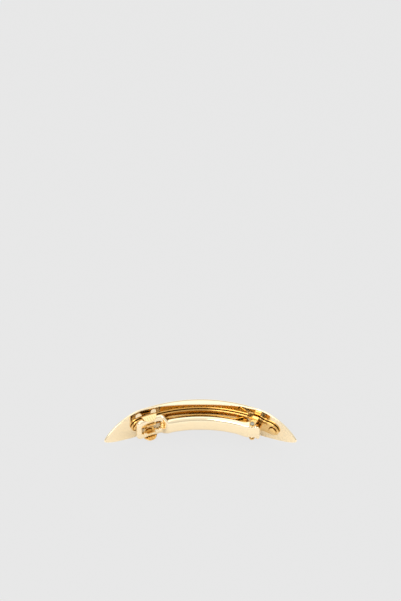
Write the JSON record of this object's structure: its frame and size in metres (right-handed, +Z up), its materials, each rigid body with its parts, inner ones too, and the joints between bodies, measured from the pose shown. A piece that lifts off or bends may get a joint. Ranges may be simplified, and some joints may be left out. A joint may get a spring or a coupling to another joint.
{
  "type": "french barrette",
  "caption": "Arched, mirror-polished metal barrette with a channel clasp arm, a squeeze catch and a slotted tension bow behind its domed plate.",
  "frame": {"origin": "middle of the bounding box's bottom face, under the clip as it stands on its lower long edge", "axes": "+X along the clip towards the hinge, -Y towards the mechanism side, +Z up across the clip's width"},
  "size_m": [0.0866, 0.017, 0.0204],
  "materials": {
    "plate_gold": "mirror-polished gold plating",
    "base_gold": "bright gold plating",
    "arm_gold": "bright gold plating",
    "stud_gold": "bright gold plating",
    "pin_steel": "plain grey steel",
    "spring_gold": "deep gold plating on spring steel",
    "catch_gold": "gold plating on spring steel",
    "rivet_gold": "bright gold plating"
  },
  "bodies": {
    "base": {"decorative_plate": "plate_gold", "base_plate": "base_gold", "left_fixing_stud": "stud_gold", "right_fixing_stud": "stud_gold", "hinge_pin": "pin_steel", "catch_plate": "catch_gold", "catch_rivet": "rivet_gold"},
    "arm": {"clasp_arm": "arm_gold"},
    "bow": {"tension_bow": "spring_gold"},
    "upper_ear": {"upper_catch_ear": "catch_gold"},
    "lower_ear": {"lower_catch_ear": "catch_gold"}
  },
  "joints": [
    {"name": "arm_hinge", "type": "hinge", "parent": "base", "child": "arm", "pos_m": [0.02318, -0.00244, 0.0102], "axis": [0, 0, 1], "range_deg": [0, 100]},
    {"name": "bow_flex", "type": "hinge", "parent": "base", "child": "bow", "pos_m": [0.02088, 0.00274, 0.0102], "axis": [0, 0, -1], "range_deg": [0, 2], "stiffness_Nm_per_rad": 0.02},
    {"name": "lower_ear_squeeze", "type": "hinge", "parent": "base", "child": "lower_ear", "pos_m": [-0.02339, 0.0018, 0.0057], "axis": [-0.9292, -0.3695, 0], "range_deg": [0, 10], "stiffness_Nm_per_rad": 0.002},
    {"name": "upper_ear_squeeze", "type": "hinge", "parent": "base", "child": "upper_ear", "pos_m": [-0.02339, 0.0018, 0.0147], "axis": [0.9292, 0.3695, 0], "range_deg": [0, 10], "stiffness_Nm_per_rad": 0.002}
  ],
  "couplings": [
    {"joint": "upper_ear_squeeze", "follows": "lower_ear_squeeze", "ratio": 1}
  ]
}
